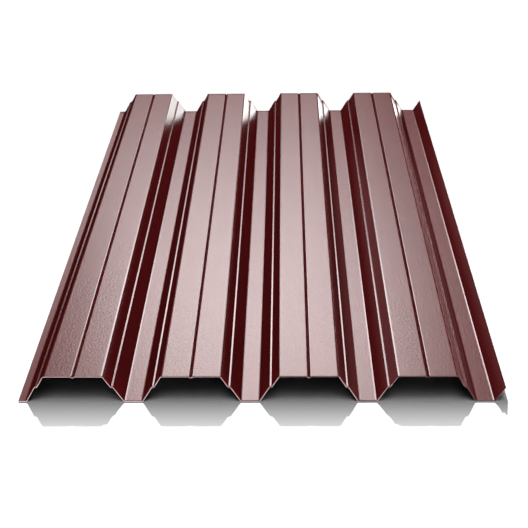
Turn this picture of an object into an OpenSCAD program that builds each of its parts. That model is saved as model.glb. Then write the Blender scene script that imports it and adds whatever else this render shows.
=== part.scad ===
// Trapezoidal profiled steel sheet: one strip of coated coil, cold rolled into four waves.
// The waves run along Y, the sheet lies on its valleys, and its middle is over the origin.

/* [Sheet] */
// Length of the sheet along its waves
sheet_length = 1550; // [400:10:6000]
// Thickness of the coated steel
sheet_thickness = 1; // [0.4:0.05:1.5]
// Number of crests across the sheet
crest_count = 4; // [2:1:6]

/* [Wave] */
// Height of a wave, from the underside of a valley to the underside of a crest
wave_height = 60; // [45:1:90]
// Width of a crest, measured between the corners of the bend lines
crest_width = 119; // [60:1:160]
// Width of a valley, measured between the corners of the bend lines
valley_width = 38; // [20:1:80]
// Sideways run of one sloping web, ledge included
web_run = 39; // [20:1:70]
// Inside radius of the bends at crests and valleys
corner_radius = 3.5; // [1:0.1:5]

/* [Web ledge] */
// Height of the ledge's inner bend above the valleys
ledge_height = 34.2; // [15:0.1:38]
// Width of the ledge, measured sideways
ledge_width = 4; // [3:0.1:8]
// Height that the ledge's outer bend stands above its inner bend
ledge_lip = 0.9; // [0:0.1:2]

/* [Crest groove] */
// Width of the stiffening groove along the middle of each crest, at its top
groove_opening = 6; // [5:0.5:16]
// Width of the groove's flat bottom
groove_floor = 1.5; // [1.5:0.1:4]
// Depth of the groove
groove_depth = 3; // [1.5:0.1:6]
// Inside radius of the small bends of the grooves and ledges
crease_radius = 0.8; // [0.3:0.1:1.1]

/* [Side laps] */
// Width of the left lap, the part of a valley that goes under the next sheet
left_lap_width = 17; // [8:1:35]
// Height of the right lap, the part of a web that goes over the next sheet
right_lap_height = 33; // [15:1:34]

/* [Hidden] */
coating = "#5e1c22";

// A bend is drawn with a flat for each of these angles, in degrees
bend_step = 15;

// Spacing of the waves, which the sizes across a wave add up to
wave_pitch = crest_width + 2 * web_run + valley_width;
// Steepness of the sloping parts of a web, and how far they run sideways for each millimetre that they rise
web_angle = atan2(wave_height + ledge_lip, web_run - ledge_width);
web_slope = 1 / tan(web_angle);
// Radii of the bends along the middle of the steel
corner_bend = corner_radius + sheet_thickness / 2;
crease_bend = crease_radius + sheet_thickness / 2;

// Distances from the middle of a crest
crest_edge = crest_width / 2;
ledge_inner = crest_edge + web_slope * (wave_height - ledge_height);
ledge_outer = ledge_inner + ledge_width;
web_foot = crest_edge + web_run;

// Places of the outermost crests and of the sheet's two long edges, from the middle of all the crests
last_crest = wave_pitch * (crest_count - 1) / 2;
left_edge = -last_crest - web_foot - left_lap_width;
right_foot = last_crest + web_foot + valley_width;
right_edge = right_foot + web_slope * right_lap_height;
right_reach = right_edge + sheet_thickness / 2 * sin(web_angle);
sheet_middle = (left_edge + right_reach) / 2;

// Corners of one crest with its two webs, each as across, up and bend radius
right_half = [
    [groove_floor / 2, wave_height - groove_depth, crease_bend],
    [groove_opening / 2, wave_height, crease_bend],
    [crest_edge, wave_height, corner_bend],
    [ledge_inner, ledge_height, crease_bend],
    [ledge_outer, ledge_height + ledge_lip, crease_bend],
    [web_foot, 0, corner_bend],
];
left_half = [for (i = [len(right_half) - 1 : -1 : 0])
    [-right_half[i][0], right_half[i][1], right_half[i][2]]];

// Corners of the whole section, from the left edge to the right edge
section_corners = [
    [left_edge, 0, 0],
    for (k = [0 : crest_count - 1], c = concat(left_half, right_half))
        [c[0] - last_crest + k * wave_pitch, c[1], c[2]],
    [right_foot, 0, corner_bend],
    [right_edge, right_lap_height, 0],
];

// Direction from one corner to the next, in degrees above level
function heading(a, b) = atan2(b[1] - a[1], b[0] - a[0]);
// Unit vector square to a heading, on its upper side
function square_to(angle) = [-sin(angle), cos(angle)];
// Unit vector along a heading
function along(angle) = [cos(angle), sin(angle)];

// Points of one face round the bend at corner c, where the path turns from heading a to heading b.
// side is how far the face stands above the middle of the steel.
function bend(c, a, b, side) =
    let (way = sign(b - a),
         flats = max(1, ceil(abs(b - a) / bend_step)),
         start = [c[0], c[1]] - along(a) * c[2] * tan(abs(b - a) / 2),
         centre = start + way * c[2] * square_to(a))
    [for (i = [0 : flats]) centre + (side - way * c[2]) * square_to(a + (b - a) * i / flats)];

// Points of one whole face of the section, from the left edge to the right edge
function face(corners, side) =
    let (last = len(corners) - 1,
         first_heading = heading(corners[0], corners[1]),
         last_heading = heading(corners[last - 1], corners[last]))
    [
        [corners[0][0], corners[0][1]] + side * square_to(first_heading),
        for (i = [1 : last - 1])
            each bend(corners[i], heading(corners[i - 1], corners[i]),
                      heading(corners[i], corners[i + 1]), side),
        [corners[last][0], corners[last][1]] + side * square_to(last_heading),
    ];

function reversed(list) = [for (i = [len(list) - 1 : -1 : 0]) list[i]];

// The rolled section, with its valleys standing on the level line
module sheet_section() {
    half = sheet_thickness / 2;
    translate([-sheet_middle, half])
        polygon(concat(face(section_corners, half), reversed(face(section_corners, -half))));
}

// The sheet, cut square at both ends
module profiled_sheet() {
    color(coating)
        rotate([90, 0, 0])
            translate([0, 0, -sheet_length / 2])
                linear_extrude(height = sheet_length)
                    sheet_section();
}

profiled_sheet();
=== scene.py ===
"""Looks of a wine red trapezoidal steel sheet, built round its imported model.

The sheet is one strip of coil coated steel, cold rolled into four waves. Its section is worked out
as a path along the middle of the steel, so both faces and every bend stay concentric, and is swept
along the sheet. Lengths are in metres, apart from the section's own sizes, which are in
millimetres. The waves run along Y, and the photograph is taken from the front, at low Y.
"""

import logging
import math
from dataclasses import dataclass, replace
from enum import Enum

import bpy
import numpy as np
from mathutils import Matrix, Vector

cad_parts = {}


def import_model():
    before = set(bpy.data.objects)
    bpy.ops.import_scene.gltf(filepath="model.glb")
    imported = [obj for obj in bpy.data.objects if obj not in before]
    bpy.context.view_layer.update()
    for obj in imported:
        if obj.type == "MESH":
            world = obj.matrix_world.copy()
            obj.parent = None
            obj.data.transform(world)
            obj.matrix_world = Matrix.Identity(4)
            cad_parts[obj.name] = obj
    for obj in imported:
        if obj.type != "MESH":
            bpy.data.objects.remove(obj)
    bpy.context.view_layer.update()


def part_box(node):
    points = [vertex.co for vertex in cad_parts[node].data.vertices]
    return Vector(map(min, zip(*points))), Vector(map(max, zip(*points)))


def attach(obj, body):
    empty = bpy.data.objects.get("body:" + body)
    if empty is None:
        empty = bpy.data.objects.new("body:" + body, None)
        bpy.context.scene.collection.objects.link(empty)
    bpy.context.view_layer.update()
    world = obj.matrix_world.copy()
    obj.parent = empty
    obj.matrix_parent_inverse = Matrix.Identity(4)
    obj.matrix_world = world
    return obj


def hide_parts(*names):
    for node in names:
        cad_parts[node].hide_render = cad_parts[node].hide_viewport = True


Colour = tuple[float, float, float, float]
Triple = tuple[float, float, float]
Pair = tuple[float, float]

NODE = "profiled_sheet"
BODY = "root"
MM = 0.001
COIL_MAP = "coil"
DEPTH_ATTRIBUTE = "depth"
BEND_ATTRIBUTE = "bend"
STEEP_ATTRIBUTE = "steep"
NOISE_MIDDLE = 0.5
BLACK: Colour = (0.0, 0.0, 0.0, 1.0)
WHITE: Colour = (1.0, 1.0, 1.0, 1.0)
SHEET_MIDDLE: Triple = (0.0, 0.0, 0.03)

log = logging.getLogger("sheet")


class Skin(Enum):
    """Kinds of surface on the sheet, numbered as its material slots."""

    TOP_COAT = 0
    BACK_COAT = 1
    CUT_EDGE = 2


class Glow(Enum):
    """Kinds of surface on the painted-shade form under the sheet, numbered as its material slots.
    """

    BLACK = 0
    WEB = 1
    VALLEY = 2


class Field:
    """A number that varies over a surface.

    It holds a shader socket, and sums and products of it add Math nodes.
    """

    def __init__(self, graph: "Graph", socket: bpy.types.NodeSocket) -> None:
        """Wraps a socket.

        Args:
            graph: the node graph that the socket belongs to.
            socket: an output that carries a number.
        """
        self.graph = graph
        self.socket = socket

    def _math(self, operation: str, *values: object) -> "Field":
        """Adds a Math node and returns its result."""
        node = self.graph.make("ShaderNodeMath", {"operation": operation}, dict(enumerate(values)))
        return Field(self.graph, node.outputs[0])

    def __add__(self, other: object) -> "Field":
        """Returns self + other."""
        return self._math("ADD", self, other)

    __radd__ = __add__

    def __sub__(self, other: object) -> "Field":
        """Returns self - other."""
        return self._math("SUBTRACT", self, other)

    def __rsub__(self, other: object) -> "Field":
        """Returns other - self."""
        return self._math("SUBTRACT", other, self)

    def __mul__(self, other: object) -> "Field":
        """Returns self * other."""
        return self._math("MULTIPLY", self, other)

    __rmul__ = __mul__

    def absolute(self) -> "Field":
        """Returns the number without its sign."""
        return self._math("ABSOLUTE", self)

    def at_least(self, other: object) -> "Field":
        """Returns the larger of two numbers."""
        return self._math("MAXIMUM", self, other)

    def centred(self) -> "Field":
        """Returns noise of 0 to 1 as a number that lies about 0."""
        return self - NOISE_MIDDLE

    def clamped(self) -> "Field":
        """Returns the number kept between 0 and 1."""
        node = self.graph.make("ShaderNodeClamp", {}, {"Value": self})
        return Field(self.graph, node.outputs["Result"])

    def step(self, low: float, high: float) -> "Field":
        """Turns the number into a smooth step.

        Args:
            low: where the step starts to rise.
            high: where it has risen.

        Returns:
            0 below low, 1 above high, and a smooth rise between them.
        """
        node = self.graph.make(
            "ShaderNodeMapRange",
            {"interpolation_type": "SMOOTHSTEP"},
            {"Value": self, "From Min": low, "From Max": high},
        )
        return Field(self.graph, node.outputs["Result"])


class Graph:
    """The node graph of one material or world."""

    def __init__(self, owner: bpy.types.ID) -> None:
        """Empties the owner's graph and takes it over.

        Args:
            owner: a material or world.
        """
        owner.use_nodes = True
        self.tree = owner.node_tree
        self.tree.nodes.clear()

    def make(self, kind: str, settings: dict, values: dict) -> bpy.types.Node:
        """Adds one node.

        Args:
            kind: the node's type name.
            settings: properties of the node, set before its sockets.
            values: numbers, colours, links or Fields, by socket name or number.

        Returns:
            The new node.
        """
        node = self.tree.nodes.new(kind)
        for name, value in settings.items():
            setattr(node, name, value)
        for key, value in values.items():
            if isinstance(value, Field):
                value = value.socket
            if isinstance(value, bpy.types.NodeSocket):
                self.tree.links.new(value, node.inputs[key])
            else:
                node.inputs[key].default_value = value
        return node

    def noise(self, place: bpy.types.NodeSocket, scale: float, detail: float = 2.0) -> Field:
        """Adds noise of about 0 to 1.

        Args:
            place: where on the surface, as a vector.
            scale: how many features fit in a metre.
            detail: how many finer layers it has.

        Returns:
            The noise's value.
        """
        values = {"Vector": place, "Scale": scale, "Detail": detail}
        return Field(self, self.make("ShaderNodeTexNoise", {}, values).outputs["Fac"])

    def mix(self, factor: object, first: object, second: object) -> bpy.types.NodeSocket:
        """Mixes two colours and returns the result."""
        node = self.make("ShaderNodeMix", {"data_type": "RGBA"}, {0: factor, 6: first, 7: second})
        return node.outputs[2]

    def mix_shaders(
        self, factor: object, first: bpy.types.Node, second: bpy.types.Node
    ) -> bpy.types.Node:
        """Adds a node that mixes two shaders."""
        values = {0: factor, 1: first.outputs[0], 2: second.outputs[0]}
        return self.make("ShaderNodeMixShader", {}, values)

    def stretch(self, vector: bpy.types.NodeSocket, factors: Triple) -> bpy.types.NodeSocket:
        """Multiplies a vector by three factors, one for each axis."""
        node = self.make("ShaderNodeVectorMath", {"operation": "MULTIPLY"}, {0: vector, 1: factors})
        return node.outputs[0]

    def part(self, vector: bpy.types.NodeSocket, axis: str) -> Field:
        """Returns one of a vector's three numbers, which axis names: X, Y or Z."""
        node = self.make("ShaderNodeSeparateXYZ", {}, {"Vector": vector})
        return Field(self, node.outputs[axis])

    def coordinates(self, kind: str) -> bpy.types.NodeSocket:
        """Returns one of Blender's own texture coordinates."""
        return self.make("ShaderNodeTexCoord", {}, {}).outputs[kind]

    def along_coil(self) -> bpy.types.NodeSocket:
        """Returns the place on the unrolled strip: across it and along it, in metres."""
        return self.make("ShaderNodeUVMap", {"uv_map": COIL_MAP}, {}).outputs["UV"]

    def attribute(self, name: str) -> Field:
        """Returns a number stored on the mesh's points."""
        node = self.make("ShaderNodeAttribute", {"attribute_name": name}, {})
        return Field(self, node.outputs["Fac"])

    def bump(self, height: Field, distance: float, strength: float) -> bpy.types.NodeSocket:
        """Turns a height field into a normal."""
        values = {"Height": height, "Distance": distance, "Strength": strength}
        return self.make("ShaderNodeBump", {}, values).outputs["Normal"]

    def finish(self, shader: bpy.types.Node, output: str = "ShaderNodeOutputMaterial") -> None:
        """Links a shader to the graph's output."""
        self.make(output, {}, {"Surface": shader.outputs[0]})

    def finish_surface(self, values: dict) -> None:
        """Adds the surface shader with the given sockets and links it to the output."""
        self.finish(self.make("ShaderNodeBsdfPrincipled", {}, values))


@dataclass(frozen=True)
class TopCoat:
    """Wine red polyester coil coating with a faintly pink semi-gloss, tighter where it is bent.

    A fine grain and wide clouds make its tone uneven. The grain is also in its relief and gloss.
    On its bends the colour is darker: painted shade.
    """

    name: str = "wine_red_top_coat"
    colour: Colour = (0.148, 0.0080, 0.0095, 1.0)
    shade: Colour = (0.074, 0.0040, 0.0048, 1.0)
    # painted shade: the bends' colour, darker than the plain coat
    painted_bend_shade: Colour = (0.095, 0.0045, 0.0055, 1.0)
    gloss_tint: Colour = (1.0, 0.84, 0.84, 1.0)
    roughness: float = 0.304
    bent_roughness: float = 0.20
    ior: float = 1.5
    grain_per_metre: float = 250.0
    grain_stretch: Triple = (0.75, 1.0, 1.0)
    grain_detail: float = 1.0
    grain_tone: float = 2.0
    grain_gloss: float = 0.08
    grain_height: float = 0.00030
    grain_strength: float = 1.0
    cloud_per_metre: float = 7.0
    cloud_tone: float = 0.5
    tone_offset: float = 0.75

    def material(self) -> bpy.types.Material:
        """Makes the coating.

        Returns:
            Its material.
        """
        material = bpy.data.materials.new(self.name)
        graph = Graph(material)
        coil = graph.along_coil()
        bent = graph.attribute(BEND_ATTRIBUTE)
        stretched = graph.stretch(coil, self.grain_stretch)
        grain = graph.noise(stretched, self.grain_per_metre, self.grain_detail)
        cloud = graph.noise(coil, self.cloud_per_metre)
        tone = (grain * self.grain_tone + cloud * self.cloud_tone - self.tone_offset).clamped()
        burnish = bent * (self.bent_roughness - self.roughness)
        relief = grain.centred() * (1.0 - bent)
        plain = graph.mix(tone, self.shade, self.colour)
        graph.finish_surface({
            # the bends take the darker colour: painted shade
            "Base Color": graph.mix(bent, plain, self.painted_bend_shade),
            "Roughness": self.roughness + burnish + grain.centred() * self.grain_gloss,
            "IOR": self.ior,
            "Specular Tint": self.gloss_tint,
            "Normal": graph.bump(relief, self.grain_height, self.grain_strength),
        })
        return material


@dataclass(frozen=True)
class BackCoat:
    """Thin grey protective lacquer on the underside, with the faint lines of its roller."""

    name: str = "grey_back_coat"
    colour: Colour = (0.27, 0.275, 0.27, 1.0)
    shade: Colour = (0.21, 0.215, 0.21, 1.0)
    roughness: float = 0.5
    streak_per_metre: float = 160.0
    streak_stretch: Triple = (1.0, 0.015, 1.0)
    streak_detail: float = 3.0
    streak_tone: float = 0.7
    streak_gloss: float = 0.12
    grain_per_metre: float = 600.0
    grain_tone: float = 0.3
    grain_height: float = 0.00005
    grain_strength: float = 0.5

    def material(self) -> bpy.types.Material:
        """Makes the lacquer.

        Returns:
            Its material.
        """
        material = bpy.data.materials.new(self.name)
        graph = Graph(material)
        coil = graph.along_coil()
        stretched = graph.stretch(coil, self.streak_stretch)
        streaks = graph.noise(stretched, self.streak_per_metre, self.streak_detail)
        grain = graph.noise(coil, self.grain_per_metre)
        tone = (streaks * self.streak_tone + grain * self.grain_tone).clamped()
        graph.finish_surface({
            "Base Color": graph.mix(tone, self.shade, self.colour),
            "Roughness": self.roughness + streaks.centred() * self.streak_gloss,
            "Normal": graph.bump(grain, self.grain_height, self.grain_strength),
        })
        return material


@dataclass(frozen=True)
class CutEdge:
    """Sheared edge: steel with the blade's marks and the paint that the blade drew over it.

    Dark paint covers more of the edge towards the strip's right end, and more on the level parts
    than on the steep ones: painted shade, on top of a thin even band of paint. Level painted shade
    and steep painted shade say where along the section, in metres, the painted shade rises from
    none to all.
    """

    name: str = "sheared_steel_edge"
    steel: Colour = (0.96, 0.70, 0.72, 1.0)
    zinc: Colour = (0.95, 0.80, 0.80, 1.0)
    zinc_depth: Pair = (0.92, 0.96)
    paint: Colour = (0.110, 0.0085, 0.0110, 1.0)
    paint_depth: float = 0.05
    paint_fade: float = 0.06
    # painted shade: how much of the edge the dark paint covers at most
    painted_shade_depth: float = 0.85
    level_painted_shade: Pair = (0.15, 0.95)
    steep_painted_shade: Pair = (0.90, 1.08)
    bare_metallic: float = 0.9
    roughness: float = 0.34
    marks_per_metre: float = 2600.0
    marks_reach: float = 0.12
    marks_gloss: float = 0.25
    marks_height: float = 0.00004
    marks_strength: float = 0.7

    def material(self) -> bpy.types.Material:
        """Makes the cut edge.

        Returns:
            Its material.
        """
        material = bpy.data.materials.new(self.name)
        graph = Graph(material)
        coil = graph.along_coil()
        run = graph.part(coil, "X")
        marks = graph.noise(coil, self.marks_per_metre)
        below_paint = 1.0 - graph.attribute(DEPTH_ATTRIBUTE)
        steep = graph.attribute(STEEP_ATTRIBUTE)
        # painted shade: the edge darkens towards the strip's right end and on its level parts
        level_painted_shade, steep_painted_shade = run.step(*self.level_painted_shade), run.step(*self.steep_painted_shade)
        painted_edge_shade = level_painted_shade + (steep_painted_shade - level_painted_shade) * steep
        reach = painted_edge_shade * self.painted_shade_depth + self.paint_depth + marks.centred() * self.marks_reach
        bare = (below_paint - reach).step(0.0, self.paint_fade)
        metal = graph.mix(below_paint.step(*self.zinc_depth), self.steel, self.zinc)
        graph.finish_surface({
            "Base Color": graph.mix(bare, self.paint, metal),
            "Metallic": bare * self.bare_metallic,
            "Roughness": self.roughness + marks.centred() * self.marks_gloss,
            "Normal": graph.bump(marks, self.marks_height, self.marks_strength),
        })
        return material


class Shine(Enum):
    """How a bend catches the light."""

    ROUND = 0
    LEVEL = 1
    SHARP = 2


@dataclass(frozen=True)
class Corner:
    """A corner of the path along the middle of the steel, before it is rounded, in millimetres.

    shine says how the bend catches the light, where that isn't the way a plain round bend would.
    """

    across: float
    up: float
    radius: float = 0.0
    shine: Shine = Shine.ROUND


@dataclass(frozen=True)
class Bend:
    """A corner with the headings of the flats that it joins, in radians.

    A rolled bend eases into the more level of its flats: it leans over by ease_angle before the
    round part starts. early and late say how far that reaches along the flats, in millimetres. The
    shine turns in the middle of the round part, and is held at each of its ends for a share of it.
    """

    corner: Corner
    before: float
    after: float
    early: float = 0.0
    late: float = 0.0
    ease_angle: float = 0.2
    held: float = 0.4

    def tangent(self) -> float:
        """Returns how much of the flat at either side the round bend takes up."""
        return self.corner.radius * math.tan(abs(self.after - self.before) / 2)

    def place(self, heading: float) -> Pair:
        """Finds a point of the round bend.

        Args:
            heading: the path's heading at the point.

        Returns:
            The point, across and up.
        """
        way = math.copysign(self.corner.radius, self.after - self.before)
        across = self.corner.across - self.tangent() * math.cos(self.before)
        up = self.corner.up - self.tangent() * math.sin(self.before)
        return (across + way * (math.sin(heading) - math.sin(self.before)),
                up - way * (math.cos(heading) - math.cos(self.before)))

    def seen(self, heading: float) -> float:
        """Works out the heading that a point of the bend is shaded by.

        Args:
            heading: the path's heading at the point.

        Returns:
            The eased heading. Beside a groove's bottom it is the steeper of the two, so that the
            groove ends in a sharp line, and on a web's ledge, which is softly crowned, it is level
            instead of tilted back.
        """
        steep = self.before if abs(self.before) > abs(self.after) else self.after
        if self.corner.shine is Shine.SHARP:
            return steep
        if self.corner.shine is Shine.LEVEL:
            return heading if heading * steep > 0 else 0.0
        turn = self.after - self.before
        if not turn:
            return heading
        lean = math.copysign(min(self.ease_angle, abs(turn) / 4), turn)
        start = self.before + (lean if self.early else 0.0)
        end = self.after - (lean if self.late else 0.0)
        done = ((heading - self.before) / turn - self.held) / (1 - 2 * self.held)
        return start + (end - start) * min(max(done, 0.0), 1.0)


@dataclass(frozen=True)
class Station:
    """A point of the path along the middle of the steel, in millimetres.

    Faces are set off from it along its square direction, and shaded as if they faced along its
    facing. run is how far along the path it is, and bent is 1 on a bend.
    """

    across: float
    up: float
    square: Pair
    facing: Pair
    run: float
    bent: float


@dataclass(frozen=True)
class RolledSection:
    """Sizes across the sheet, in millimetres.

    They repeat those of the solid model, apart from the last four, which say how finely the bends
    (in degrees) and flats are divided, and how far the bends ease into the flats.
    """

    thickness: float = 1.0
    crest_count: int = 4
    wave_height: float = 60.0
    crest_width: float = 119.0
    valley_width: float = 38.0
    web_run: float = 39.0
    corner_radius: float = 3.5
    ledge_height: float = 34.2
    ledge_width: float = 4.0
    ledge_lip: float = 0.9
    groove_opening: float = 6.0
    groove_floor: float = 1.5
    groove_depth: float = 3.0
    crease_radius: float = 0.8
    left_lap_width: float = 17.0
    right_lap_height: float = 33.0
    bend_step: float = 6.0
    flat_step: float = 14.0
    corner_ease: float = 1.9
    crease_ease: float = 1.0

    def pitch(self) -> float:
        """Returns the spacing of the waves."""
        return self.crest_width + 2 * self.web_run + self.valley_width

    def web_slope(self) -> float:
        """Returns how far a web runs sideways for each millimetre that it rises, ledge aside."""
        return (self.web_run - self.ledge_width) / (self.wave_height + self.ledge_lip)

    def ledge_top(self) -> float:
        """Returns the height of a ledge's outer bend."""
        return self.ledge_height + self.ledge_lip

    def corners(self) -> list[Corner]:
        """Works out the path's corners.

        Returns:
            The corners from the left edge to the right edge, from the middle of all the crests.
        """
        corner_bend = self.corner_radius + self.thickness / 2
        crease_bend = self.crease_radius + self.thickness / 2
        crest_edge = self.crest_width / 2
        ledge_inner = crest_edge + self.web_slope() * (self.wave_height - self.ledge_height)
        ledge_outer = ledge_inner + self.ledge_width
        groove_up = self.wave_height - self.groove_depth
        web_foot = crest_edge + self.web_run
        right_half = [
            Corner(self.groove_floor / 2, groove_up, crease_bend, Shine.SHARP),
            Corner(self.groove_opening / 2, self.wave_height, crease_bend),
            Corner(crest_edge, self.wave_height, corner_bend),
            Corner(ledge_inner, self.ledge_height, crease_bend, Shine.LEVEL),
            Corner(ledge_outer, self.ledge_top(), crease_bend, Shine.LEVEL),
            Corner(web_foot, 0.0, corner_bend),
        ]
        left_half = [replace(c, across=-c.across) for c in reversed(right_half)]
        last_crest = self.pitch() * (self.crest_count - 1) / 2
        found = [Corner(-last_crest - web_foot - self.left_lap_width, 0.0)]
        for k in range(self.crest_count):
            middle = k * self.pitch() - last_crest
            found += [replace(c, across=c.across + middle) for c in left_half + right_half]
        right_foot = last_crest + web_foot + self.valley_width
        right_edge = right_foot + self.web_slope() * self.right_lap_height
        found.append(Corner(right_foot, 0.0, corner_bend))
        found.append(Corner(right_edge, self.right_lap_height))
        return found

    def bends(self) -> tuple[list[Bend], list[float]]:
        """Rounds the path's corners.

        Returns:
            The bends, eased into the flats, and the lengths of the flats between them.
        """
        corners = self.corners()
        headings = [
            math.atan2(b.up - a.up, b.across - a.across) for a, b in zip(corners, corners[1:])
        ]
        into, out = headings[:1] + headings, headings + headings[-1:]
        sharp = [Bend(*three) for three in zip(corners, into, out)]
        flats = [
            math.dist((a.corner.across, a.corner.up), (b.corner.across, b.corner.up))
            - a.tangent() - b.tangent()
            for a, b in zip(sharp, sharp[1:])
        ]
        eased = []
        for bend in sharp:
            if bend.before != bend.after and bend.corner.shine is Shine.ROUND:
                is_wide = bend.corner.radius > self.corner_radius
                side = "early" if abs(bend.before) < abs(bend.after) else "late"
                bend = replace(bend, **{side: self.corner_ease if is_wide else self.crease_ease})
            eased.append(bend)
        return eased, flats

    def path(self) -> list[Station]:
        """Works out the path along the middle of the steel.

        Returns:
            Its points: close together round each bend, and few along each flat.
        """
        bends, flats = self.bends()
        stations: list[Station] = []

        def add(place: Pair, heading: float, seen: float, bent: float) -> None:
            """Adds one point.

            Args:
                place: where it is, across and up.
                heading: the path's heading there.
                seen: the heading that it is shaded by.
                bent: 1 on a bend and 0 on a flat.
            """
            run = 0.0
            if stations:
                last = stations[-1]
                run = last.run + math.dist(place, (last.across, last.up))
            stations.append(Station(*place, square_to(heading), square_to(seen), run, bent))

        for bend, flat, following in zip(bends, [*flats, 0.0], [*bends[1:], None]):
            turn = bend.after - bend.before
            steps = 0
            if bend.corner.radius:
                steps = max(1, math.ceil(math.degrees(abs(turn)) / self.bend_step))
            is_bent = steps > 0 and bend.corner.shine is not Shine.SHARP
            for i in range(steps + 1):
                heading = bend.before + (turn * i / steps if steps else 0.0)
                add(bend.place(heading), heading, bend.seen(heading), float(is_bent))
            if following is None:
                break
            (x0, z0), (x1, z1) = bend.place(bend.after), following.place(following.before)
            for part in self._stops(flat, bend, following):
                add((x0 + (x1 - x0) * part, z0 + (z1 - z0) * part), bend.after, bend.after, 0.0)
        return stations

    def _stops(self, flat: float, bend: Bend, following: Bend) -> list[float]:
        """Spaces the points inside a flat.

        Args:
            flat: the flat's length in millimetres.
            bend: the bend before it.
            following: the bend after it.

        Returns:
            Their places, from 0 at the flat's start to 1 at its end. A flat as short as a ledge
            has none.
        """
        if flat < self.ledge_width + self.ledge_lip:
            return []
        early, late = max(bend.late, self.crease_ease), max(following.early, self.crease_ease)
        inner = flat - early - late
        spans = math.ceil(inner / self.flat_step)
        return [(early + inner * i / spans) / flat for i in range(spans + 1)]


def square_to(heading: float) -> Pair:
    """Returns the unit vector square to a heading, on its upper side."""
    return -math.sin(heading), math.cos(heading)


@dataclass(frozen=True)
class PaintedShadeInside:
    """The dark inside of the waves, as gloss sees it in place of the sheet.

    It fills the sheet's lower outline, belongs to the studio, and is seen by no camera. It is
    black, painted shade that the webs and the floor mirror in place of the lit sheet, apart from a
    painted glow on top, which fades to the back, of its last two valleys and of the webs to their
    left. The form emits that glow itself, and the webs beside them mirror it as a painted
    reflection.
    outline is the sheet's lower outline as (x, z), and ledge_top the height of its ledges.
    The form's end walls stand higher than the outline by lip and widen with their height by spread,
    and its right side reaches out by flare. level is the rise below which a part counts as level.
    """

    outline: np.ndarray
    near: float
    far: float
    ledge_top: float
    lip: float = 0.005
    spread: float = 0.6
    flare: float = 0.007
    level: float = 0.000001
    ridge: float = 0.0004
    glow_reach: float = 0.314
    glow_foot: float = 0.010
    glow_floor: float = 0.026
    glow_fade: Pair = (0.05, 0.75)
    # painted glow: colours that the form emits, which the webs mirror as painted reflections
    painted_web_glow: Colour = (0.62, 0.30, 0.31, 1.0)
    painted_valley_glow: Colour = (0.20, 0.076, 0.080, 1.0)

    def _line(self) -> tuple[list[Pair], list[Glow]]:
        """Works out the form's top line.

        A glowing valley is ridged. Its painted glow is on the sides of the ridges that face left,
        where only the webs that face right mirror it as a painted reflection.

        Returns:
            The line's points as (x, z), and what each part between two points shows.
        """
        right_end = self.outline[-1][0]
        foot = 0.0
        line, glows = [tuple(self.outline[0])], []
        for (x0, z0), (x1, z1) in zip(self.outline, self.outline[1:]):
            falls, is_level = z0 - z1 > self.level, abs(z1 - z0) < self.level
            foot = x1 if falls else foot
            glows_here = x0 >= right_end - self.glow_reach and max(z0, z1) <= self.ledge_top
            if glows_here and is_level and x1 - foot < self.glow_floor:
                ridges = math.ceil((x1 - x0) / (2 * self.ridge))
                half = (x1 - x0) / (2 * ridges)
                for k in range(ridges):
                    top = x0 + (2 * k + 1) * half
                    line += [(top, z0 + half), (top + half, z0)]
                    glows += [Glow.VALLEY, Glow.BLACK]
                continue
            is_web = glows_here and falls and (z0 + z1) / 2 > self.glow_foot
            line.append((x1, z1))
            glows.append(Glow.WEB if is_web else Glow.BLACK)
        line.append((right_end + self.flare, -MM))
        return line, glows

    def _materials(self) -> list[bpy.types.Material]:
        """Makes the form's materials.

        Returns:
            A material for each kind of surface, in the order of their numbers: black painted shade,
            or a painted glow. The glow fades to black at the back, and from below, where the floor
            mirrors it, it is black.
        """
        colours = {"black": BLACK, "painted_web_glow": self.painted_web_glow, "painted_valley_glow": self.painted_valley_glow}
        materials = []
        for name, colour in colours.items():
            material = bpy.data.materials.new(f"studio_{name}")
            graph = Graph(material)
            back = graph.part(graph.coordinates("Object"), "Y")
            facing = graph.make("ShaderNodeNewGeometry", {}, {}).outputs
            below = Field(graph, facing["Backfacing"])
            hidden = (back.step(*self.glow_fade) + below).clamped()
            glow = graph.make("ShaderNodeEmission", {}, {"Color": colour})
            dark = graph.make("ShaderNodeEmission", {}, {"Color": BLACK})
            graph.finish(graph.mix_shaders(hidden, glow, dark))
            materials.append(material)
        return materials

    def build(self) -> bpy.types.Object:
        """Builds the form, a little shorter than the sheet.

        Returns:
            Its object, which only gloss sees.
        """
        line, glows = self._line()
        count, rim = len(line), len(self.outline)
        left, right = self.outline[0][0], line[-1][0]
        ends = (self.near + MM, self.far - MM)
        points = [(x, y, z) for y in ends for x, z in line]
        points += [
            (x * (1 + self.spread * z), y, z + self.lip) for y in ends for x, z in self.outline
        ]
        points += [(x, y, -MM) for y in ends for x in (right, left)]
        faces = [(i, i + 1, count + i + 1, count + i) for i in range(count - 1)]
        for side in range(len(ends)):
            first = 2 * count + side * rim
            foot = 2 * count + 2 * rim + 2 * side
            faces.append((*range(first, first + rim), foot, foot + 1))
        mesh = bpy.data.meshes.new("painted_shade_inside")
        mesh.from_pydata(points, [], faces)
        for material in self._materials():
            mesh.materials.append(material)
        for number, glow in enumerate(glows):
            mesh.polygons[number].material_index = glow.value
        inside = bpy.data.objects.new("painted_shade_inside", mesh)
        # painted shade: only gloss sees this black form, in place of the sheet
        inside.visible_camera = inside.visible_diffuse = False
        inside.visible_transmission = inside.visible_shadow = False
        bpy.context.scene.collection.objects.link(inside)
        log.info("painted_shade_inside: %d faces", len(mesh.polygons))
        return inside


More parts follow.
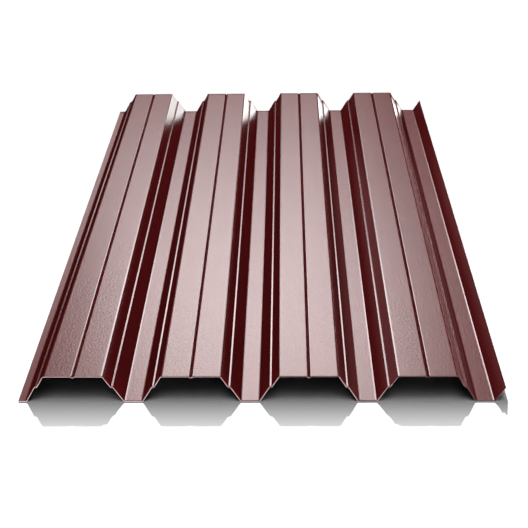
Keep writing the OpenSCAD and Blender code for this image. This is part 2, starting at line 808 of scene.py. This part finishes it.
@dataclass
class ProfiledSheet:
    """The rolled sheet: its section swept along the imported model, with its three finishes.

    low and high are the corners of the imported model's box. The last bit of the sheet at each end
    is shaded as turned down, by turn_down_angle, as the shear leaves it.
    """

    section: RolledSection
    low: Vector
    high: Vector
    top_coat: TopCoat
    back_coat: BackCoat
    cut_edge: CutEdge
    rows: int = 30
    turned_down: float = 0.003
    turn_down_angle: float = 0.80

    def _outline(self) -> tuple[list[Station], np.ndarray, np.ndarray]:
        """Places the section in the frame.

        Returns:
            The path's stations, and the top and bottom outlines as (x, z) in metres.
        """
        path = self.section.path()
        middle = np.array([(s.across, s.up) for s in path])
        square = np.array([s.square for s in path])
        half = self.section.thickness / 2
        top = (middle + square * half) * MM
        bottom = (middle - square * half) * MM
        left = min(top[:, 0].min(), bottom[:, 0].min())
        shift = np.array([self.low.x - left, self.low.z - bottom[:, 1].min()])
        return path, top + shift, bottom + shift

    def painted_shade_inside(self) -> PaintedShadeInside:
        """Returns the black painted-shade form that stands in for the sheet where gloss looks."""
        _, _, bottom = self._outline()
        return PaintedShadeInside(bottom, self.low.y, self.high.y, self.section.ledge_top() * MM)

    def build(self) -> bpy.types.Object:
        """Builds the sheet as one closed mesh.

        Returns:
            The sheet's object, riding on the model's body in place of its plain solid.
        """
        path, top, bottom = self._outline()
        near, far = self.low.y + self.turned_down, self.high.y - self.turned_down
        lengthwise = np.array([self.low.y, *np.linspace(near, far, self.rows - 1), self.high.y])
        points = [(x, y, z) for face in (top, bottom) for y in lengthwise for x, z in face]
        faces, skins = self._faces(len(path))
        mesh = bpy.data.meshes.new("rolled_sheet")
        mesh.from_pydata(points, [], faces)
        mesh.update()
        self._dress(mesh, skins)
        self._measure(mesh, path, lengthwise)
        self._shade(mesh, path, skins)
        sheet = bpy.data.objects.new("rolled_sheet", mesh)
        bpy.context.scene.collection.objects.link(sheet)
        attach(sheet, BODY)
        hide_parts(NODE)
        sheet.visible_glossy = False
        log.info("rolled_sheet: %d faces, %d points round the section", len(faces), len(path))
        return sheet

    def _faces(self, count: int) -> tuple[list[tuple[int, ...]], list[Skin]]:
        """Lists the mesh's faces.

        Args:
            count: how many points there are round the section.

        Returns:
            The faces as numbers of points, and the kind of surface of each face.
        """

        def index(is_bottom: int, row: int, column: int) -> int:
            """Returns the number of a point."""
            return (is_bottom * (self.rows + 1) + row) * count + column

        def edge(a: tuple[int, int], b: tuple[int, int]) -> tuple[int, ...]:
            """Returns the cut face below two of the top's points, each a row and a column."""
            return index(0, *a), index(0, *b), index(1, *b), index(1, *a)

        faces: list[tuple[int, ...]] = []
        skins: list[Skin] = []
        for row in range(self.rows):
            for column in range(count - 1):
                quad = [(row, column), (row, column + 1), (row + 1, column + 1), (row + 1, column)]
                faces.append(tuple(index(0, r, c) for r, c in quad))
                faces.append(tuple(index(1, r, c) for r, c in reversed(quad)))
                skins += [Skin.TOP_COAT, Skin.BACK_COAT]
        for column in range(count - 1):
            faces.append(edge((0, column + 1), (0, column)))
            faces.append(edge((self.rows, column), (self.rows, column + 1)))
            skins += [Skin.CUT_EDGE, Skin.CUT_EDGE]
        for row in range(self.rows):
            faces.append(edge((row, 0), (row + 1, 0)))
            faces.append(edge((row + 1, count - 1), (row, count - 1)))
            skins += [Skin.CUT_EDGE, Skin.CUT_EDGE]
        return faces, skins

    def _dress(self, mesh: bpy.types.Mesh, skins: list[Skin]) -> None:
        """Gives the mesh its three finishes.

        Args:
            mesh: the sheet's mesh.
            skins: the kind of surface of each face.
        """
        finishes = {
            Skin.TOP_COAT: self.top_coat,
            Skin.BACK_COAT: self.back_coat,
            Skin.CUT_EDGE: self.cut_edge,
        }
        for skin in Skin:
            mesh.materials.append(finishes[skin].material())
        mesh.polygons.foreach_set("material_index", [skin.value for skin in skins])
        mesh.polygons.foreach_set("use_smooth", [True] * len(skins))

    def _measure(
        self, mesh: bpy.types.Mesh, path: list[Station], lengthwise: np.ndarray
    ) -> None:
        """Stores what the finishes ask of the mesh.

        That is the place on the unrolled strip, and for each point whether it is on top, whether it
        is on a bend, and how steep its surface is.

        Args:
            mesh: the sheet's mesh.
            path: stations round the section.
            lengthwise: the rows' places along the sheet.
        """
        rows, count = len(lengthwise), len(path)
        run = np.tile([s.run * MM for s in path], 2 * rows)
        along = np.tile(np.repeat(lengthwise, count), 2)
        loops = loop_points(mesh)
        places = np.stack([run[loops], along[loops]], axis=1)
        coil = mesh.uv_layers.new(name=COIL_MAP)
        coil.data.foreach_set("uv", places.astype(np.float32).ravel())
        for name, values in (
            (DEPTH_ATTRIBUTE, np.repeat([1.0, 0.0], rows * count)),
            (BEND_ATTRIBUTE, np.tile([s.bent for s in path], 2 * rows)),
            (STEEP_ATTRIBUTE, np.tile([abs(s.square[0]) for s in path], 2 * rows)),
        ):
            attribute = mesh.attributes.new(name, "FLOAT", "POINT")
            attribute.data.foreach_set("value", values.astype(np.float32))

    def _shade(self, mesh: bpy.types.Mesh, path: list[Station], skins: list[Skin]) -> None:
        """Gives the mesh the exact normals of its section. Cut faces keep their flat ones.

        Args:
            mesh: the sheet's mesh.
            path: stations round the section.
            skins: the kind of surface of each face.
        """
        rows, count = self.rows + 1, len(path)
        upward = np.tile([(s.facing[0], 0.0, s.facing[1]) for s in path], (rows, 1))
        under = -upward
        for first, way in ((0, -1.0), ((rows - 1) * count, 1.0)):
            end = upward[first:first + count]
            end *= math.cos(self.turn_down_angle)
            end[:, 1] = way * math.sin(self.turn_down_angle)
        normals = np.concatenate([upward, under])[loop_points(mesh)]
        starts = np.empty(len(mesh.polygons), dtype=np.int64)
        mesh.polygons.foreach_get("loop_start", starts)
        flat = np.empty(len(mesh.polygons) * 3, dtype=np.float32)
        mesh.polygons.foreach_get("normal", flat)
        flat = flat.reshape(-1, 3)
        cut = np.array([skin is Skin.CUT_EDGE for skin in skins])
        for corner in range(4):
            normals[starts[cut] + corner] = flat[cut]
        mesh.normals_split_custom_set(normals.tolist())


def loop_points(mesh: bpy.types.Mesh) -> np.ndarray:
    """Lists the points at the corners of a mesh's faces.

    Args:
        mesh: the mesh.

    Returns:
        The number of the point at each corner, face by face.
    """
    loops = np.empty(len(mesh.loops), dtype=np.int64)
    mesh.loops.foreach_get("vertex_index", loops)
    return loops


@dataclass(frozen=True)
class Lamp:
    """A soft rectangular studio lamp.

    place and aim are in metres. level is the brightness of its face, where 1 is white. A lamp that
    only shines is seen in glossy surfaces but gives no plain light.
    """

    name: str
    place: Triple
    aim: Triple
    width: float
    height: float
    level: float
    only_shines: bool = False

    def hang(self, lit: bpy.types.Collection) -> None:
        """Hangs the lamp in the scene, facing its aim.

        Args:
            lit: the objects that it lights.
        """
        data = bpy.data.lights.new(self.name, "AREA")
        data.shape = "RECTANGLE"
        data.size = self.width
        data.size_y = self.height
        data.energy = self.level * math.pi * self.width * self.height
        lamp = bpy.data.objects.new(self.name, data)
        way = Vector(self.aim) - Vector(self.place)
        lamp.location = self.place
        lamp.rotation_euler = way.to_track_quat("-Z", "Y").to_euler()
        lamp.visible_camera = False
        lamp.visible_diffuse = not self.only_shines
        lamp.light_linking.receiver_collection = lit
        bpy.context.scene.collection.objects.link(lamp)


@dataclass(frozen=True)
class FloorSun:
    """One of the suns that light the floor: how far it leans to the front, and its share."""

    lean: float
    share: float
    angle: float = 0.40

    def hang(self, name: str, light: float, lit: bpy.types.Collection) -> None:
        """Hangs the sun in the scene.

        Args:
            name: the sun's name.
            light: the light of all the suns together on the level, where 1 shows white as white.
            lit: the objects that it lights.
        """
        data = bpy.data.lights.new(name, "SUN")
        data.energy = light * math.pi * self.share / math.cos(self.lean)
        data.angle = self.angle
        sun = bpy.data.objects.new(name, data)
        sun.rotation_euler = (self.lean, 0.0, 0.0)
        sun.visible_glossy = False
        sun.light_linking.receiver_collection = lit
        bpy.context.scene.collection.objects.link(sun)


SHEET_LAMPS = (
    Lamp("overhead_softbox", (0.0, 0.0, 4.0), SHEET_MIDDLE, width=4.0, height=4.0, level=2.5),
    Lamp(
        "back_high_softbox", (-0.106, 4.9, 4.281), SHEET_MIDDLE,
        width=2.577, height=2.064, level=10.8,
    ),
    Lamp(
        "back_low_softbox", (-0.472, 5.0, 3.026), SHEET_MIDDLE,
        width=2.168, height=1.705, level=4.4,
    ),
    Lamp(
        "right_strip", (1.25, 0.2, 0.06), (0.42, 0.2, 0.04),
        width=2.8, height=0.20, level=9.4,
    ),
    Lamp(
        "right_back_card", (1.05, 2.9, -0.43), (0.0, 0.775, 0.03),
        width=1.7, height=1.1, level=5.0, only_shines=True,
    ),
    Lamp(
        "front_card", (0.0, -4.5, 2.1), SHEET_MIDDLE,
        width=4.0, height=1.6, level=4.0, only_shines=True,
    ),
)


@dataclass(frozen=True)
class Studio:
    """A white floor, soft lamps for the sheet and plain light for the floor, in a dim surround.

    The floor's middle is seen by the camera only, so the sheet stands in the dark surround as far
    as its gloss and the light from below go, as it does on a matt black table. polish is how
    mirror-like the floor is under the sheet, and polish_reach how far round the sheet that fades.
    Directions in the surround are given by how far they rise, from -1 to 1.
    """

    sheet_lamps: tuple[Lamp, ...] = SHEET_LAMPS
    floor_colour: Colour = (0.95, 0.95, 0.95, 1.0)
    floor_light: float = 1.12
    floor_suns: tuple[FloorSun, ...] = (
        FloorSun(0.14, 0.64), FloorSun(0.36, 0.29), FloorSun(0.60, 0.07)
    )
    floor_reach: float = 40.0
    middle_low: Pair = (-3.0, -0.775)
    middle_high: Pair = (3.0, 4.0)
    polish: float = 0.80
    polish_roughness: float = 0.06
    polish_reach: float = 0.143
    glow_distance: float = 6.0
    surround: float = 0.01
    horizon: Pair = (-0.01, 0.01)
    white_rise: Pair = (0.45, 0.75)

    def build(self, sheet: bpy.types.Object) -> None:
        """Builds the floor, the surround and the lamps.

        Args:
            sheet: the object on the floor, which the sheet lamps light.
        """
        floors = self._floors(sheet)
        self._surround()
        lit_sheet = group("sheet_receivers", [sheet])
        for lamp in self.sheet_lamps:
            lamp.hang(lit_sheet)
        self._light_floor(group("floor_receivers", floors))
        log.info("studio: floor, surround, %d lamps", len(self.sheet_lamps))

    def _floors(self, sheet: bpy.types.Object) -> list[bpy.types.Object]:
        """Lays the floor at the level that the sheet lies on.

        Args:
            sheet: the object that the floor is polished round.

        Returns:
            The floor's middle and its wide rim.
        """
        far, (x0, y0), (x1, y1) = self.floor_reach, self.middle_low, self.middle_high
        inner = [(x0, y0, 0), (x1, y0, 0), (x1, y1, 0), (x0, y1, 0)]
        outer = [(-far, -far, 0), (far, -far, 0), (far, far, 0), (-far, far, 0)]
        sides = [(i, (i + 1) % 4, 4 + (i + 1) % 4, 4 + i) for i in range(4)]
        material = self._floor_material(sheet)
        floors = []
        for name, points, faces in (
            ("floor_middle", inner, [(0, 1, 2, 3)]),
            ("floor_rim", outer + inner, sides),
        ):
            mesh = bpy.data.meshes.new(name)
            mesh.from_pydata(points, [], faces)
            mesh.materials.append(material)
            floor = bpy.data.objects.new(name, mesh)
            bpy.context.scene.collection.objects.link(floor)
            floors.append(floor)
        middle = floors[0]
        middle.visible_diffuse = middle.visible_glossy = False
        middle.visible_transmission = middle.visible_shadow = False
        return floors

    def _floor_material(self, sheet: bpy.types.Object) -> bpy.types.Material:
        """Makes the floor's finish.

        Args:
            sheet: the object that the floor is polished round.

        Returns:
            A white material that is a mirror near the sheet and matt away from it.
        """
        material = bpy.data.materials.new("studio_floor")
        graph = Graph(material)
        place = graph.coordinates("Object")
        aside = graph.part(place, "X").absolute() - sheet.dimensions.x / 2
        beyond = graph.part(place, "Y").absolute() - sheet.dimensions.y / 2
        away = aside.at_least(beyond).at_least(0.0)
        shine = (1.0 - away * (1 / self.polish_reach)).clamped() * self.polish
        matt = graph.make("ShaderNodeBsdfDiffuse", {}, {"Color": self.floor_colour})
        gloss_values = {"Color": WHITE, "Roughness": self.polish_roughness}
        gloss = graph.make("ShaderNodeBsdfAnisotropic", {}, gloss_values)
        graph.finish(graph.mix_shaders(shine, matt, gloss))
        return material

    def _light_floor(self, lit: bpy.types.Collection) -> None:
        """Gives the floor an even light from above and a white room to mirror.

        Args:
            lit: the floor, which alone this light reaches.
        """
        for number, sun in enumerate(self.floor_suns):
            sun.hang(f"floor_light_{number}", self.floor_light, lit)
        d = self.glow_distance
        sides = [(d, 0.0, d / 2), (-d, 0.0, d / 2), (0.0, d, d / 2), (0.0, -d, d / 2)]
        walls = [(place, (0.0, 0.0, d / 2), d) for place in sides]
        ceiling = ((0.0, 0.0, d), (0.0, 0.0, 0.0), 2 * d)
        for number, (place, aim, height) in enumerate([*walls, ceiling]):
            name = f"floor_glow_{number}"
            Lamp(name, place, aim, 2 * d, height, level=1.0, only_shines=True).hang(lit)

    def _surround(self) -> None:
        """Makes the surround dim above the floor and black below it.

        The camera sees it white behind the floor's edge, and gloss and glass see it white above
        the dim horizon.
        """
        world = bpy.data.worlds.new("studio_surround")
        bpy.context.scene.world = world
        graph = Graph(world)
        rise = graph.part(graph.coordinates("Generated"), "Z")
        below, above, white = (
            graph.make("ShaderNodeBackground", {}, {"Color": colour, "Strength": strength})
            for colour, strength in ((BLACK, 0.0), (WHITE, self.surround), (WHITE, 1.0))
        )
        dim = graph.mix_shaders(rise.step(*self.horizon), below, above)
        rays = graph.make("ShaderNodeLightPath", {}, {}).outputs
        to_camera, to_gloss, through = (
            Field(graph, rays[name])
            for name in ("Is Camera Ray", "Is Glossy Ray", "Is Transmission Ray")
        )
        shown = (to_camera + (to_gloss + through) * rise.step(*self.white_rise)).clamped()
        graph.finish(graph.mix_shaders(shown, dim, white), "ShaderNodeOutputWorld")


def group(name: str, objects: list[bpy.types.Object]) -> bpy.types.Collection:
    """Gathers objects that the same lamps light.

    Args:
        name: the collection's name.
        objects: what goes in it.

    Returns:
        The new collection.
    """
    found = bpy.data.collections.new(name)
    for item in objects:
        found.objects.link(item)
    return found


@dataclass(frozen=True)
class PhotoCamera:
    """The photograph's viewpoint.

    Angles are in radians, and the picture is 528 pixels wide and high.
    """

    eye: Triple = (0.0518, -2.4832, 1.3055)
    yaw: float = -0.0235
    down: float = 0.5239
    roll: float = -0.0154
    focal_px: float = 1063.0
    picture_px: float = 528.0
    sensor_mm: float = 36.0

    def place(self) -> None:
        """Makes the scene's camera."""
        ahead = Vector((
            math.sin(self.yaw) * math.cos(self.down),
            math.cos(self.yaw) * math.cos(self.down),
            -math.sin(self.down),
        ))
        level = Vector((math.cos(self.yaw), -math.sin(self.yaw), 0.0))
        up = level.cross(ahead)
        right = level * math.cos(self.roll) + up * math.sin(self.roll)
        top = up * math.cos(self.roll) - level * math.sin(self.roll)
        data = bpy.data.cameras.new("photo_camera")
        data.sensor_fit = "HORIZONTAL"
        data.sensor_width = self.sensor_mm
        data.lens = self.focal_px / self.picture_px * self.sensor_mm
        camera = bpy.data.objects.new("photo_camera", data)
        turn = Matrix((right, top, -ahead)).transposed()
        camera.matrix_world = Matrix.Translation(self.eye) @ turn.to_4x4()
        bpy.context.scene.collection.objects.link(camera)
        bpy.context.scene.camera = camera
        log.info("photo_camera: %.1f mm lens", data.lens)


def main() -> None:
    """Builds the scene."""
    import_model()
    low, high = (Vector(corner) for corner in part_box(NODE))
    PhotoCamera().place()
    roll_former = ProfiledSheet(RolledSection(), low, high, TopCoat(), BackCoat(), CutEdge())
    sheet = roll_former.build()
    roll_former.painted_shade_inside().build()
    Studio().build(sheet)
    bpy.context.scene.view_settings.view_transform = "Standard"


if __name__ == "__main__":
    logging.basicConfig(level=logging.INFO, format="%(name)s: %(message)s")
    main()
